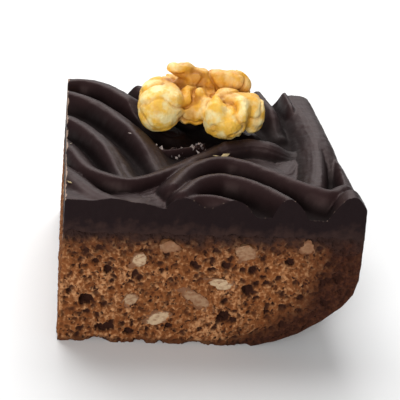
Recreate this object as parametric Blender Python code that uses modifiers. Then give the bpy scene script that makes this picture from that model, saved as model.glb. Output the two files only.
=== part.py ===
"""A square of nut brownie: a cut cake base with nut pieces in it, a combed chocolate icing and half a walnut on top.

Plan measures below are in millimetres from the front left corner of the cut square, heights in
millimetres from the table. The model itself is in metres, with its origin under the middle of the square.
"""

import math
import random

import bmesh
import bpy
import numpy as np
from mathutils import Matrix, Vector

MM = 0.001

# Driving sizes of the square, in millimetres
WIDTH = 64.0
DEPTH = 60.0
OVERALL_WIDTH = 65.6
CAKE_HEIGHT_LEFT = 28.2
CAKE_HEIGHT_RIGHT = 29.7
GAP = 0.3

# The right side was baked against the tray: its outline from the table up, across and up
TRAY_PROFILE = (
    (44.0, 0.0),
    (49.0, 1.5),
    (54.2, 4.0),
    (59.0, 7.6),
    (62.8, 11.2),
    (65.0, 14.8),
    (65.6, 18.6),
    (65.4, 23.0),
    (64.8, 29.7),
)
TRAY_SLOPE_RUN = 20.0

# Icing: the floor of the comb's grooves, and the rounded edge along the tray
GROOVE_FLOOR = 33.2
EDGE_ROUND = 3.4
EDGE_FLARE = 0.8
ICING_CELL = 1.1
CREST_BLEND = 0.5

# Walnut half: where its underside sits, and how softly its lobes run together
NUT_CENTRE = (31.8, 42.6)
NUT_SEAT = 35.3
NUT_SEAT_RADII = (13.5, 9.5)
NUT_CELL = 0.8
NUT_KEEP = 0.38

# Ridges left by the comb: name, crest height over the groove floor, half width, route of the crest
RIDGES = (
    ("back_left_rim", 5.4, 4.9, ((-5, 50), (0, 57.5), (5, 58.5), (10, 55), (15, 48.5), (20, 42), (24, 37))),
    ("left_sweep_outer", 4.3, 4.6, ((-4, 52.5), (1, 51), (7, 46), (13.5, 35), (18, 24.5), (20, 17))),
    ("left_sweep_inner", 3.9, 4.4, ((-4, 39), (1, 36), (6, 28.5), (9.5, 20), (12, 12))),
    ("first_wave", 3.2, 4.0, ((-4, 31), (0, 23.7), (5, 12.5), (13, 8.2), (20.8, 12.4), (29, 21), (37, 30))),
    ("first_wave_far", 3.0, 3.8, ((37, 30), (44, 29.4), (51, 25.4), (56.2, 29.6), (59.2, 38), (60, 48), (59.5, 63))),
    ("front_left_lip", 2.8, 3.8, ((-4, 18), (0.6, 12.4), (6, 4), (12, -1.5))),
    ("second_wave", 4.6, 4.7, ((24, 6), (28, 13), (34, 19.4), (38.5, 20), (46, 13.2), (52, 6.6), (57, 4.6), (61, 8))),
    ("right_rim", 5.0, 4.4, ((60, 4), (61.2, 9), (61.6, 18), (61, 30), (61.8, 46), (61.5, 64))),
    ("front_right_knob", 6.3, 6.2, ((59, -6), (59, 2), (60.5, 8))),
    ("third_wave", 4.7, 4.2, ((25, 2.2), (30, 8.8), (34.4, 10.4), (40, 8), (45, 2.4), (49, -4))),
    ("fourth_wave", 3.8, 4.0, ((23.5, -1.5), (27.5, 1.4), (31.5, 1.6), (35.5, -0.4), (39, -4))),
    ("back_tip_left", 4.4, 4.2, ((17, 64), (19.5, 57), (25, 50), (31, 47))),
    ("back_sweep", 4.3, 4.3, ((33, 64), (35.5, 55), (41, 47), (45, 39))),
    ("back_valley_wall", 5.0, 3.9, ((48.5, 64), (50.4, 56), (50.8, 47), (48, 38))),
    ("back_tip_right", 4.4, 3.8, ((58, 64), (57.4, 58), (55, 49), (53.4, 39))),
)

# Broad low swells that the spatula left smooth, in the same form
SWELLS = (
    ("front_left_flat", 2.2, 9.0, ((-4, 3), (6, -1), (14, 1))),
    ("front_middle_flat", 1.7, 8.0, ((14, 1), (20, 5), (26, 10))),
    ("right_flat", 2.0, 10.0, ((44, 24), (51, 20), (57, 24), (58, 34))),
)

# Nut pieces that the front cut passes through: across, up, width, height, turn in degrees
FRONT_CHUNKS = (
    (22.6, 25.0, 4.2, 2.4, 0),
    (39.3, 24.2, 4.8, 3.6, -15),
    (52.6, 26.4, 3.2, 2.6, 20),
    (16.6, 21.5, 3.0, 2.7, 30),
    (34.9, 16.2, 5.0, 2.6, -10),
    (29.8, 12.2, 6.8, 2.6, -32),
    (15.5, 11.3, 3.2, 2.8, 10),
    (21.9, 6.6, 5.4, 3.0, 28),
)

# Bubbles that the front cut passes through: across, up, width, height
FRONT_BUBBLES = (
    (5.8, 10.9, 3.4, 3.0),
    (10.3, 3.6, 4.4, 2.4),
    (41.0, 14.8, 2.4, 3.2),
    (36.4, 7.6, 2.8, 2.8),
    (10.0, 18.6, 2.0, 2.1),
    (35.4, 20.6, 2.4, 1.6),
    (28.2, 21.0, 1.9, 1.6),
    (49.4, 22.4, 2.6, 2.0),
    (57.4, 17.0, 1.6, 2.6),
    (46.0, 9.4, 1.7, 1.6),
)
SIDE_SEED = 17
SIDE_MARGIN = 3.2
BUBBLE_RADII = (0.7, 1.3)
CHUNK_RADII = (3.2, 4.0)
BUBBLES_EACH_SIDE = {"front": 4, "left": 11, "back": 12}
CHUNKS_EACH_SIDE = {"left": 6, "back": 6}

# Lobes of the walnut half: centre from the nut's middle and seat, and half sizes across, deep and high
NUT_LOBES = (
    ("left_bulb", (-10.2, -5.4, 5.7), (5.3, 4.6, 5.6)),
    ("left_bulb_back", (-9.6, 1.6, 5.6), (5.2, 5.4, 5.0)),
    ("waist_rib_left", (-3.5, -1.4, 5.5), (2.1, 4.2, 4.5)),
    ("waist_rib_right", (-0.6, -1.6, 5.6), (2.0, 4.2, 4.6)),
    ("right_front", (3.2, -7.2, 5.2), (3.5, 4.2, 5.1)),
    ("right_front_fold", (7.6, -7.6, 4.7), (3.9, 4.0, 4.6)),
    ("right_outer", (12.4, -3.4, 5.0), (3.0, 4.4, 4.4)),
    ("right_shoulder", (8.6, -2.6, 6.6), (4.6, 4.4, 3.8)),
    ("back_left", (-7.6, 7.2, 5.2), (5.2, 4.2, 4.8)),
    ("back_middle", (0.0, 7.0, 5.0), (5.0, 4.2, 4.6)),
    ("back_right", (7.8, 6.2, 5.3), (5.8, 5.0, 5.0)),
    ("core", (0.0, 1.8, 5.2), (9.5, 7.0, 4.2)),
    ("bar_post", (0.6, 4.2, 8.8), (7.0, 2.8, 3.3)),
    ("bar_left_tip", (-6.0, 3.0, 11.7), (1.7, 1.8, 1.6)),
    ("bar_left", (-3.8, 3.6, 11.6), (2.3, 2.3, 2.2)),
    ("bar_middle", (-0.2, 4.0, 11.0), (2.9, 2.2, 2.0)),
    ("bar_right", (4.6, 3.6, 10.9), (3.4, 2.4, 2.1)),
    ("bar_right_bulge", (7.8, 3.2, 11.0), (3.1, 2.6, 2.4)),
    ("bar_right_tip", (9.6, 3.0, 10.0), (1.9, 2.2, 1.9)),
)


def place(x, y, z):
    """A point given from the front left corner, in metres in the model's frame."""
    return Vector(((x - OVERALL_WIDTH / 2) * MM, (y - DEPTH / 2) * MM, z * MM))


def cake_top(x):
    """Height of the cake under the icing, which rises a little towards the tray."""
    return CAKE_HEIGHT_LEFT + (CAKE_HEIGHT_RIGHT - CAKE_HEIGHT_LEFT) * x / WIDTH


def smooth_route(points, steps=14):
    """A Catmull-Rom curve through the points, as an array with steps samples for each span."""
    p = np.array(points, float)
    p = np.vstack([2 * p[0] - p[1], p, 2 * p[-1] - p[-2]])
    t = np.linspace(0, 1, steps, endpoint=False)[:, None]
    spans = []
    for a, b, c, d in zip(p[:-3], p[1:-2], p[2:-1], p[3:]):
        spans.append(0.5 * (2 * b + (c - a) * t + (2 * a - 5 * b + 4 * c - d) * t**2 + (3 * b - a - 3 * c + d) * t**3))
    return np.vstack([*spans, p[-2:-1]])


def stroke(x, y, height, half_width, route):
    """A rounded rise along the route: full height on its line, nothing past half_width."""
    line = smooth_route(route)
    away = np.hypot(x[:, None] - line[:, 0], y[:, None] - line[:, 1]).min(axis=1)
    inside = np.clip(away / half_width, 0, 1)
    return height * (0.5 + 0.5 * np.cos(math.pi * inside))


def icing_top(x, y):
    """Height of the icing's surface at each place: the highest ridge or swell, run together softly."""
    rises = [stroke(x, y, *ridge[1:]) for ridge in RIDGES + SWELLS]
    top = GROOVE_FLOOR + CREST_BLEND * np.log(np.exp(np.array(rises) / CREST_BLEND).sum(axis=0) / len(rises)) + 1.0
    along = np.hypot((x - NUT_CENTRE[0]) / NUT_SEAT_RADII[0], (y - NUT_CENTRE[1]) / NUT_SEAT_RADII[1])
    bed = NUT_SEAT - GAP - 0.1 + 9.0 * np.clip(along - 1.0, 0, None)
    top = np.minimum(top, bed)
    over_edge = np.clip(x - (WIDTH - EDGE_ROUND), 0, EDGE_ROUND)
    return top - (EDGE_ROUND - np.sqrt(EDGE_ROUND**2 - over_edge**2))


def material(name, colour, roughness):
    """A plain finish for one kind of piece."""
    made = bpy.data.materials.new(name)
    made.use_nodes = True
    shader = made.node_tree.nodes["Principled BSDF"]
    shader.inputs["Base Color"].default_value = (*colour, 1)
    shader.inputs["Roughness"].default_value = roughness
    shader.inputs["Metallic"].default_value = 0
    return made


def add_object(name, mesh, collection, finish=None):
    """An object of this mesh in the collection, smooth but for its sharp edges."""
    made = bpy.data.objects.new(name, mesh)
    collection.objects.link(made)
    if finish:
        mesh.materials.append(finish)
        mesh.shade_smooth()
        mesh.set_sharp_from_angle(angle=math.radians(40))
    return made


def mesh_of(shape, name):
    """A mesh of this bmesh, with its faces turned outwards."""
    bmesh.ops.recalc_face_normals(shape, faces=shape.faces)
    if shape.calc_volume(signed=True) < 0:
        bmesh.ops.reverse_faces(shape, faces=shape.faces)
    mesh = bpy.data.meshes.new(name)
    shape.to_mesh(mesh)
    shape.free()
    return mesh


def make_cake(collection, finish):
    """The cake base: the front cut's outline run from front to back."""
    shape = bmesh.new()
    outline = [(0, 0), *TRAY_PROFILE, (0, cake_top(0))]
    front = shape.faces.new([shape.verts.new(place(x, 0, z)) for x, z in outline])
    moved = bmesh.ops.extrude_face_region(shape, geom=[front])["geom"]
    back = [v for v in moved if isinstance(v, bmesh.types.BMVert)]
    bmesh.ops.translate(shape, verts=back, vec=(0, DEPTH * MM, 0))
    return add_object("cake", mesh_of(shape, "cake"), collection, finish)


def make_icing(collection, finish):
    """The icing: a combed surface over a grid, closed down to the cake's top."""
    cells_x = round(WIDTH / ICING_CELL)
    cells_y = round(DEPTH / ICING_CELL)
    shape = bmesh.new()
    bmesh.ops.create_grid(shape, x_segments=cells_x, y_segments=cells_y, size=0.5)
    plan = np.array([(v.co.x + 0.5, v.co.y + 0.5) for v in shape.verts]) * (WIDTH, DEPTH)
    for vert, (x, y), z in zip(shape.verts, plan, icing_top(plan[:, 0], plan[:, 1])):
        vert.co = place(x, y, z)
    rim = [e for e in shape.edges if e.is_boundary]
    dropped = bmesh.ops.extrude_edge_only(shape, edges=rim)["geom"]
    for vert in (v for v in dropped if isinstance(v, bmesh.types.BMVert)):
        x = vert.co.x / MM + OVERALL_WIDTH / 2
        vert.co.z = (cake_top(x) + GAP) * MM
        vert.co.x += EDGE_FLARE * MM * (x > WIDTH - ICING_CELL / 2)
    combed = [f for f in shape.faces if len(f.verts) == 4 and abs(f.normal.z) > 0.1]
    bmesh.ops.triangulate(shape, faces=combed, quad_method="SHORT_EDGE")
    bmesh.ops.holes_fill(shape, edges=[e for e in shape.edges if e.is_boundary], sides=0)
    return add_object("icing", mesh_of(shape, "icing"), collection, finish)


def make_walnut(collection, finish):
    """Half a walnut: its lobes made one skin, then thinned to fewer faces."""
    shape = bmesh.new()
    for _, (x, y, z), half_sizes in NUT_LOBES:
        centre = place(NUT_CENTRE[0] + x, NUT_CENTRE[1] + y, NUT_SEAT + z)
        stretch = Matrix.Translation(centre) @ Matrix.Diagonal((*(size * MM for size in half_sizes), 1))
        bmesh.ops.create_icosphere(shape, subdivisions=3, radius=1, matrix=stretch)
    walnut = add_object("walnut", mesh_of(shape, "walnut"), collection, finish)
    skin = walnut.modifiers.new("one_skin", "REMESH")
    skin.mode = "VOXEL"
    skin.voxel_size = NUT_CELL * MM
    skin.use_smooth_shade = True
    fewer = walnut.modifiers.new("fewer_faces", "DECIMATE")
    fewer.ratio = NUT_KEEP
    return walnut


def cut_sides():
    """Each cut side: where a point across and up it lies, which way it faces, and its length."""
    return {
        "front": (lambda across, up: place(across, 0, up), Vector((0, -1, 0)), WIDTH),
        "left": (lambda across, up: place(0, DEPTH - across, up), Vector((-1, 0, 0)), DEPTH),
        "back": (lambda across, up: place(WIDTH - across, DEPTH, up), Vector((0, 1, 0)), WIDTH),
    }


def scattered(draw, taken, count, side, radii):
    """Places on a side for count small things, each clear of the ones taken and of the side's edges."""
    length = DEPTH if side == "left" else WIDTH
    places = []
    while len(places) < count:
        radius = draw.uniform(*radii)
        across = draw.uniform(SIDE_MARGIN, length - SIDE_MARGIN)
        up = draw.uniform(SIDE_MARGIN, CAKE_HEIGHT_LEFT - SIDE_MARGIN)
        from_tray = {"front": length - across, "back": across}.get(side, length)
        if from_tray < TRAY_SLOPE_RUN:
            continue
        if all(math.hypot(across - a, up - b) > 0.8 + radius + r for a, b, r in taken):
            taken.append((across, up, radius))
            places.append((across, up, radius))
    return places


def pebble(centre, facing, half_sizes, turn, draw=None, rough=0.0):
    """A slightly uneven ellipsoid on a side: half sizes across, up and in, turned about the way it faces."""
    shape = bmesh.new()
    bmesh.ops.create_icosphere(shape, subdivisions=2, radius=1)
    across = Vector((0, 0, 1)).cross(facing)
    axes = Matrix((across, Vector((0, 0, 1)), facing)).transposed()
    spin = Matrix.Rotation(math.radians(turn), 3, "Z")
    for vert in shape.verts:
        swell = 1 + (draw.uniform(-rough, rough) if draw else 0)
        local = Vector(size * part for size, part in zip(half_sizes, vert.co)) * swell * MM
        vert.co = centre + axes @ (spin @ local)
    return shape


def make_chunk(name, centre, facing, sizes, turn, collection, finish, cutters, draw):
    """A nut piece cut flush with its side, and the pocket that leaves a gap round it."""
    seed = draw.random()
    half = (sizes[0] / 2, sizes[1] / 2, min(sizes) / 2 * 1.1)
    piece = pebble(centre, facing, half, turn, random.Random(seed), 0.10)
    everything = piece.verts[:] + piece.edges[:] + piece.faces[:]
    cut = bmesh.ops.bisect_plane(piece, geom=everything, plane_co=centre, plane_no=facing, clear_outer=True)
    rim = [e for e in cut["geom_cut"] if isinstance(e, bmesh.types.BMEdge)]
    bmesh.ops.holes_fill(piece, edges=rim, sides=0)
    add_object(name, mesh_of(piece, name), collection, finish)
    pocket = pebble(centre, facing, [size + GAP for size in half], turn, random.Random(seed), 0.10)
    add_object(name + "_pocket", mesh_of(pocket, name + "_pocket"), cutters)


def fill_sides(collection, cutters, finish):
    """Nut pieces set flush in the cut sides, and bubbles opened by the cuts."""
    draw = random.Random(SIDE_SEED)
    number = 0
    for side, (spot, facing, length) in cut_sides().items():
        chunks = list(FRONT_CHUNKS) if side == "front" else []
        bubbles = list(FRONT_BUBBLES) if side == "front" else []
        taken = [(a, b, max(w, h) / 2) for a, b, w, h, *_ in chunks + bubbles]
        for a, b, r in scattered(draw, taken, CHUNKS_EACH_SIDE.get(side, 0), side, CHUNK_RADII):
            chunks.append((a, b, 1.4 * r, r * draw.uniform(0.7, 0.9), draw.uniform(-40, 40)))
        for a, b, r in scattered(draw, taken, BUBBLES_EACH_SIDE[side], side, BUBBLE_RADII):
            bubbles.append((a, b, 2 * r * draw.uniform(0.8, 1.2), 2 * r * draw.uniform(0.7, 1.1)))
        for across, up, width, height, turn in chunks:
            number += 1
            name = f"nut_piece_{number:02d}"
            make_chunk(name, spot(across, up), facing, (width, height), turn, collection, finish, cutters, draw)
        for count, (across, up, width, height) in enumerate(bubbles):
            half_sizes = (width / 2, height / 2, min(width, height) * 0.7)
            name = f"{side}_bubble_{count:02d}"
            hollow = pebble(spot(across, up), facing, half_sizes, draw.uniform(-25, 25), draw, 0.12)
            add_object(name, mesh_of(hollow, name), cutters)


def cut_cake(cake, cutters):
    """Opens the pockets and bubbles in the cake's sides."""
    for cutter in cutters.objects:
        cutter.hide_render = True
        cutter.display_type = "WIRE"
    opened = cake.modifiers.new("bubbles_and_pockets", "BOOLEAN")
    opened.operation = "DIFFERENCE"
    opened.operand_type = "COLLECTION"
    opened.collection = cutters
    opened.solver = "EXACT"


def build():
    """Makes the whole square."""
    for old in list(bpy.data.objects):
        bpy.data.objects.remove(old)
    brownie = bpy.data.collections.new("brownie")
    cutters = bpy.data.collections.new("cutters")
    bpy.context.scene.collection.children.link(brownie)
    bpy.context.scene.collection.children.link(cutters)
    cake = make_cake(brownie, material("cake", (0.19, 0.075, 0.030), 0.9))
    make_icing(brownie, material("icing", (0.016, 0.009, 0.009), 0.4))
    make_walnut(brownie, material("walnut", (0.66, 0.40, 0.12), 0.55))
    fill_sides(brownie, cutters, material("nut_piece", (0.42, 0.28, 0.15), 0.6))
    cut_cake(cake, cutters)


build()
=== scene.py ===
"""A cut square of nut brownie: open chocolate crumb, combed dark icing, and half a walnut on top.

Plan measures are in millimetres from the square's front left corner, heights in millimetres from the table.
Each piece is worked out with numpy in those measures and set into the frame's metres at the end.
"""

import logging
import math
from dataclasses import dataclass, field
from enum import Enum
from itertools import product
from typing import ClassVar, Protocol

import bpy
import numpy as np
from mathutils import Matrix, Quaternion, Vector


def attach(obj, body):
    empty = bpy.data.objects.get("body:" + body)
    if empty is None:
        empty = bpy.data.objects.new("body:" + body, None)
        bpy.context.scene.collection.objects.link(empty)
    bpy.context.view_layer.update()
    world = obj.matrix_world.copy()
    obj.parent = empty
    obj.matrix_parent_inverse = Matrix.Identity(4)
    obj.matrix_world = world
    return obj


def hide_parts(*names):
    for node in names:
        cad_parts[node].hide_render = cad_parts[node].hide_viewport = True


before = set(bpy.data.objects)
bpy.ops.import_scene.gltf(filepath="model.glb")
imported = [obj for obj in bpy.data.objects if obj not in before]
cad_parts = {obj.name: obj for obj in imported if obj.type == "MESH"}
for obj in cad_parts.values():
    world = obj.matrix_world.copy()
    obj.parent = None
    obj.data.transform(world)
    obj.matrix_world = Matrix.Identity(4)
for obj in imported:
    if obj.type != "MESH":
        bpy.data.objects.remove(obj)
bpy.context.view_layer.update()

MM = 0.001
ROOT = "root"
Pair = tuple[float, float]
Triple = tuple[float, float, float]
log = logging.getLogger("brownie")


# Numbers worked out over whole arrays


def scatter(cells: np.ndarray, seed: int, channels: int = 1) -> np.ndarray:
    """Even random numbers from 0 to 1 that depend only on whole-number cells.

    The cell's numbers are multiplied by large primes, mixed by exclusive or, and stirred by shifts.

    Args:
        cells: Whole numbers, with the cell's two or three numbers along the last axis.
        seed: Picks one of many unlike fields.
        channels: How many numbers each cell gets.

    Returns:
        An array of the cells' shape with the channels along its last axis.
    """
    mask = np.uint64(0xFFFFFFFF)
    mixed = np.full(cells.shape[:-1], (seed * 2654435761) & 0xFFFFFFFF, np.uint64)
    for axis, prime in zip(range(cells.shape[-1]), (73856093, 19349663, 83492791)):
        mixed ^= (cells[..., axis].astype(np.int64).view(np.uint64) * np.uint64(prime)) & mask
    drawn = []
    for channel in range(channels):
        stirred = (mixed + np.uint64(0x9E3779B9 * (channel + 1))) & mask
        for shift, factor in ((16, 0x85EBCA6B), (13, 0xC2B2AE35)):
            stirred = ((stirred ^ (stirred >> np.uint64(shift))) * np.uint64(factor)) & mask
        drawn.append((stirred ^ (stirred >> np.uint64(16))).astype(float) / 2**32)
    return np.stack(drawn, axis=-1)


def noise(points: np.ndarray, seed: int) -> np.ndarray:
    """Smooth noise of about -1 to 1 with bumps one unit across.

    Each lattice corner holds a random slope. The slopes' heights at the point are blended by a quintic fade.

    Args:
        points: Places, with x, y and z along the last axis.
        seed: Picks one of many unlike fields.

    Returns:
        One number for each place.
    """
    base = np.floor(points)
    part = points - base
    fade = part**3 * (part * (part * 6 - 15) + 10)
    total = np.zeros(points.shape[:-1])
    for corner in product((0, 1), repeat=3):
        slope = scatter((base + corner).astype(np.int64), seed, 3) * 2 - 1
        share = np.prod(np.where(corner, fade, 1 - fade), axis=-1)
        total += share * np.sum(slope * (part - corner), axis=-1)
    return total * 1.6


def rough(points: np.ndarray, size: float, octaves: int, seed: int) -> np.ndarray:
    """Noise at several scales: each octave is half as wide and half as high as the one before.

    Args:
        points: Places in millimetres.
        size: Width of the largest bumps in millimetres.
        octaves: How many scales are added up.
        seed: Picks one of many unlike fields.

    Returns:
        One number of about -1 to 1 for each place.
    """
    layers = [noise(points * (2**level / size), seed + level) / 2**level for level in range(octaves)]
    return np.sum(layers, axis=0)


def ease(value: np.ndarray, low: float, high: float) -> np.ndarray:
    """Rises smoothly from 0 at low to 1 at high."""
    part = np.clip((value - low) / (high - low), 0, 1)
    return part * part * (3 - 2 * part)


def soft_max(values: np.ndarray, blend: float) -> np.ndarray:
    """The highest value along the first axis, blended softly by the logarithm of a sum of exponentials."""
    top = values.max(axis=0)
    return top + blend * np.log(np.exp((values - top) / blend).sum(axis=0))


def curve_through(points: tuple[Pair, ...], steps: int) -> np.ndarray:
    """A Catmull-Rom curve through plan points.

    Each span is a cubic that leaves a point along the line between the points before and after it.

    Args:
        points: The points, in order.
        steps: How many samples each span gets.

    Returns:
        The samples, with the last point at the end.
    """
    p = np.array(points, float)
    p = np.vstack([2 * p[0] - p[1], p, 2 * p[-1] - p[-2]])
    t = np.linspace(0, 1, steps, endpoint=False)[:, None]
    spans = [
        0.5 * (2 * b + (c - a) * t + (2 * a - 5 * b + 4 * c - d) * t**2 + (3 * b - a - 3 * c + d) * t**3)
        for a, b, c, d in zip(p[:-3], p[1:-2], p[2:-1], p[3:])
    ]
    return np.vstack([*spans, p[-2:-1]])


def bubbles(across: np.ndarray, up: np.ndarray, spacing: float, radii: Pair, share: float,
            seed: int) -> np.ndarray:
    """Depth of round bubbles opened by a cut.

    Each cell of a square lattice may hold one bubble at a random place. Its depth is about that of a sphere,
    steeper at the rim, stretched a little and turned. The deepest bubble over a point counts.

    Args:
        across: Places along the cut, in millimetres.
        up: Heights on the cut, in millimetres.
        spacing: Width of a lattice cell.
        radii: Smallest and largest radius.
        share: Share of the cells that hold a bubble.
        seed: Picks one of many unlike fields.

    Returns:
        The depth in millimetres at each place, 0 outside the bubbles.
    """
    cell = np.floor(np.stack([across, up], axis=-1) / spacing).astype(np.int64)
    deepest = np.zeros(across.shape)
    for step in product((-1, 0, 1), repeat=2):
        home = cell + step
        draw = scatter(home, seed, 6)
        off_x = across - (home[..., 0] + draw[..., 0]) * spacing
        off_y = up - (home[..., 1] + draw[..., 1]) * spacing
        turn = draw[..., 2] * math.pi
        stretch = 0.75 + 0.5 * draw[..., 3]
        along = (off_x * np.cos(turn) + off_y * np.sin(turn)) * stretch
        aside = (off_y * np.cos(turn) - off_x * np.sin(turn)) / stretch
        radius = radii[0] + (radii[1] - radii[0]) * draw[..., 4] ** 2
        inside = np.clip(1 - (along**2 + aside**2) / radius**2, 0, None)
        deepest = np.maximum(deepest, np.where(draw[..., 5] < share, radius * inside**0.4, 0))
    return deepest


@dataclass
class Skin:
    """A closed skin: its corners in millimetres, its faces, and what is marked at each corner."""

    corners: np.ndarray
    faces: list[list[int]]
    marks: dict[str, np.ndarray] = field(default_factory=dict)

    def volume(self) -> float:
        """Adds up the tetrahedra between the origin and each face's fan of triangles.

        Returns:
            The volume, negative where the faces point inwards.
        """
        total = 0.0
        for count in {len(face) for face in self.faces}:
            ring = self.corners[np.array([face for face in self.faces if len(face) == count])]
            for step in range(1, count - 1):
                cross = np.cross(ring[:, step], ring[:, step + 1])
                total += np.einsum("ij,ij->", ring[:, 0], cross) / 6
        return total

    def piece(self, name: str, sharp: float | None = None) -> bpy.types.Object:
        """Makes the skin an object with its faces outwards and its marks as attributes.

        Args:
            name: The piece's name.
            sharp: Angle in degrees past which an edge stays sharp, or None for an all smooth piece.

        Returns:
            The new object, at the origin.
        """
        if self.volume() < 0:
            self.faces = [face[::-1] for face in self.faces]
        mesh = bpy.data.meshes.new(name)
        mesh.from_pydata(to_frame(self.corners).tolist(), [], self.faces)
        for mark, values in self.marks.items():
            attribute = mesh.attributes.new(mark, "FLOAT", "POINT")
            attribute.data.foreach_set("value", np.ravel(values).astype(np.float32))
        mesh.validate()
        mesh.shade_smooth()
        if sharp is not None:
            mesh.set_sharp_from_angle(angle=math.radians(sharp))
        made = bpy.data.objects.new(name, mesh)
        bpy.context.scene.collection.objects.link(made)
        return made


def to_frame(points: np.ndarray) -> np.ndarray:
    """Points from the square's corner in millimetres, as points of the frame in metres."""
    return (points - np.array([SQUARE.overall / 2, SQUARE.depth / 2, 0])) * MM


def from_frame(points: np.ndarray) -> np.ndarray:
    """Points of the frame in metres, as points from the square's corner in millimetres."""
    return points / MM + np.array([SQUARE.overall / 2, SQUARE.depth / 2, 0])


def grid_faces(indices: np.ndarray) -> list[list[int]]:
    """Quads between the neighbours of a two-way array of corner numbers."""
    quads = np.stack([indices[:-1, :-1], indices[1:, :-1], indices[1:, 1:], indices[:-1, 1:]], axis=-1)
    return quads.reshape(-1, 4).tolist()


# Finishes and the small language that their shaders are written in


@dataclass(frozen=True)
class Wire:
    """A value in a material: an output socket that Python's operators can reckon with."""

    sheet: "MaterialSheet"
    socket: bpy.types.NodeSocket

    def __add__(self, other: "Wire | float") -> "Wire":
        """This plus the other."""
        return self.sheet.maths("ADD", self, other)

    def __sub__(self, other: "Wire | float") -> "Wire":
        """This less the other."""
        return self.sheet.maths("SUBTRACT", self, other)

    def __rsub__(self, other: float) -> "Wire":
        """The number less this."""
        return self.sheet.maths("SUBTRACT", other, self)

    def __mul__(self, other: "Wire | float") -> "Wire":
        """This times the other."""
        return self.sheet.maths("MULTIPLY", self, other)

    __radd__ = __add__
    __rmul__ = __mul__

    def clamped(self) -> "Wire":
        """This held between 0 and 1."""
        return self.sheet.node("ShaderNodeClamp", {}, {"Value": self})

    def eased(self, low: float, high: float) -> "Wire":
        """Rises smoothly from 0 at low to 1 at high."""
        ends = {"Value": self, "From Min": low, "From Max": high}
        return self.sheet.node("ShaderNodeMapRange", {"interpolation_type": "SMOOTHSTEP"}, ends)


class MaterialSheet:
    """One material's nodes, with a Principled shader that the finish feeds."""

    def __init__(self, name: str, constants: dict[str, float | tuple[float, ...]]) -> None:
        """Starts the material.

        Args:
            name: The material's name.
            constants: Values that are the same all over, by the shader's socket.
        """
        self.material = bpy.data.materials.new(name)
        self.material.use_nodes = True
        self.tree = self.material.node_tree
        self.shader = self.tree.nodes["Principled BSDF"]
        for socket, value in constants.items():
            self.shader.inputs[socket].default_value = value

    def node(self, kind: str, settings: dict[str, object], sockets: dict[str | int, object],
             output: str | int = 0) -> Wire:
        """Adds a node.

        Args:
            kind: The node's type.
            settings: Its own settings, set before its sockets.
            sockets: A value or a Wire for each socket, by name or number.
            output: The output that is wanted.

        Returns:
            That output.
        """
        made = self.tree.nodes.new(kind)
        for setting, value in settings.items():
            setattr(made, setting, value)
        for socket, value in sockets.items():
            if isinstance(value, Wire):
                self.tree.links.new(value.socket, made.inputs[socket])
            else:
                made.inputs[socket].default_value = value
        return Wire(self, made.outputs[output])

    def maths(self, operation: str, *values: Wire | float) -> Wire:
        """A Math node on the values."""
        return self.node("ShaderNodeMath", {"operation": operation}, dict(enumerate(values)))

    def mark(self, name: str) -> Wire:
        """What the piece's skin has marked at each corner under this name."""
        return self.node("ShaderNodeAttribute", {"attribute_name": name}, {}, "Fac")

    def grain(self, size_mm: float, detail: float = 2.0, squash: Triple = (1, 1, 1)) -> Wire:
        """Noise from 0 to 1 fixed to the piece.

        Args:
            size_mm: Width of its bumps.
            detail: How many finer scales are added.
            squash: How much finer it is along x, y and z.

        Returns:
            The noise.
        """
        place = self.node("ShaderNodeTexCoord", {}, {}, "Object")
        if squash != (1, 1, 1):
            place = self.node("ShaderNodeMapping", {}, {"Vector": place, "Scale": squash})
        sockets = {"Vector": place, "Scale": 1 / (size_mm * MM), "Detail": detail}
        return self.node("ShaderNodeTexNoise", {}, sockets)

    def blend(self, share: Wire | float, first: Wire | Triple, second: Wire | Triple) -> Wire:
        """A colour between the first and the second.

        Args:
            share: Share of the second.
            first: A colour.
            second: A colour.

        Returns:
            The mixed colour.
        """
        colours = [(*c, 1) if isinstance(c, tuple) else c for c in (first, second)]
        sockets = {0: share, 6: colours[0], 7: colours[1]}
        return self.node("ShaderNodeMix", {"data_type": "RGBA", "blend_type": "MIX"}, sockets, 2)

    def bump(self, height: Wire, depth_mm: float, strength: float = 1.0) -> Wire:
        """A surface bumped by the height, where 1 stands depth_mm out."""
        sockets = {"Height": height, "Distance": depth_mm * MM, "Strength": strength}
        return self.node("ShaderNodeBump", {}, sockets)

    def feed(self, **wires: Wire) -> bpy.types.Material:
        """Links wires to the shader.

        Args:
            **wires: A wire for each socket, by its name with underscores for spaces.

        Returns:
            The finished material.
        """
        for socket, wire in wires.items():
            self.tree.links.new(wire.socket, self.shader.inputs[socket.replace("_", " ")])
        return self.material


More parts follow.
